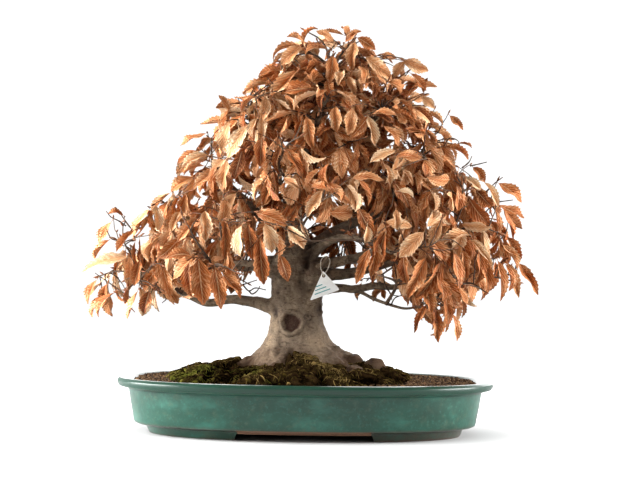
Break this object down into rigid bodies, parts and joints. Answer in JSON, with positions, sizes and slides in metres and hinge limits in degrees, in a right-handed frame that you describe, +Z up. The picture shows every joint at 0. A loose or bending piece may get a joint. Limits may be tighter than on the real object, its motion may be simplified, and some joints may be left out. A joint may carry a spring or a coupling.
{
  "type": "japanese beech bonsai",
  "caption": "Bonsai beech with a stout flared trunk and a domed crown of dry copper leaves, planted in soil and moss in a low oval glazed pot.",
  "frame": {"origin": "middle of the whole tree's bounding box, on the plane that the pot's feet stand on", "axes": "+X to the right along the pot's length, +Y to the back, +Z up; the front of the tree is -Y"},
  "size_m": [0.5472, 0.3862, 0.4913],
  "materials": {
    "bark": "matte",
    "leaf": "matte",
    "glaze": "gloss",
    "soil": "matte",
    "moss": "matte",
    "tag": "matte",
    "string": "matte",
    "mesh": "matte",
    "wire": "satin"
  },
  "bodies": {
    "root": {"trunk_and_branches": "bark", "leafy_twig_tier1_01": "leaf", "leafy_twig_tier1_02": "leaf", "leafy_twig_tier1_03": "leaf", "leafy_twig_tier1_04": "leaf", "leafy_twig_tier1_05": "leaf", "leafy_twig_tier1_06": "leaf", "leafy_twig_tier1_07": "leaf", "leafy_twig_tier1_08": "leaf", "leafy_twig_tier1_09": "leaf", "leafy_twig_tier1_10": "leaf", "leafy_twig_tier2_01": "leaf", "leafy_twig_tier2_02": "leaf", "leafy_twig_tier2_03": "leaf", "leafy_twig_tier2_04": "leaf", "leafy_twig_tier2_05": "leaf", "leafy_twig_tier2_06": "leaf", "leafy_twig_tier2_07": "leaf", "leafy_twig_tier2_08": "leaf", "leafy_twig_tier2_09": "leaf", "leafy_twig_tier2_10": "leaf", "leafy_twig_tier3_01": "leaf", "leafy_twig_tier3_02": "leaf", "leafy_twig_tier3_03": "leaf", "leafy_twig_tier3_04": "leaf", "leafy_twig_tier3_05": "leaf", "leafy_twig_tier3_06": "leaf", "leafy_twig_tier3_07": "leaf", "leafy_twig_tier3_08": "leaf", "leafy_twig_tier4_01": "leaf", "leafy_twig_tier4_02": "leaf", "leafy_twig_tier4_03": "leaf", "leafy_twig_tier4_04": "leaf", "leafy_twig_tier4_05": "leaf", "leafy_twig_tier4_06": "leaf", "leafy_twig_tier5_01": "leaf", "leafy_twig_tier5_02": "leaf", "leafy_twig_tier5_03": "leaf", "leafy_twig_tier5_04": "leaf", "leafy_twig_tier6_01": "leaf", "leafy_twig_tier6_02": "leaf", "leafy_twig_tier6_03": "leaf", "leafy_twig_tier7_01": "leaf", "leafy_twig_tier7_02": "leaf", "pot": "glaze", "drain_mesh_left": "mesh", "mesh_clip_left": "wire", "drain_mesh_right": "mesh", "mesh_clip_right": "wire", "soil": "soil", "moss_pad_1": "moss", "moss_pad_2": "moss", "moss_pad_3": "moss", "moss_pad_4": "moss", "moss_pad_5": "moss", "moss_pad_6": "moss", "name_tag": "tag", "tag_tie": "string"}
  },
  "joints": []
}
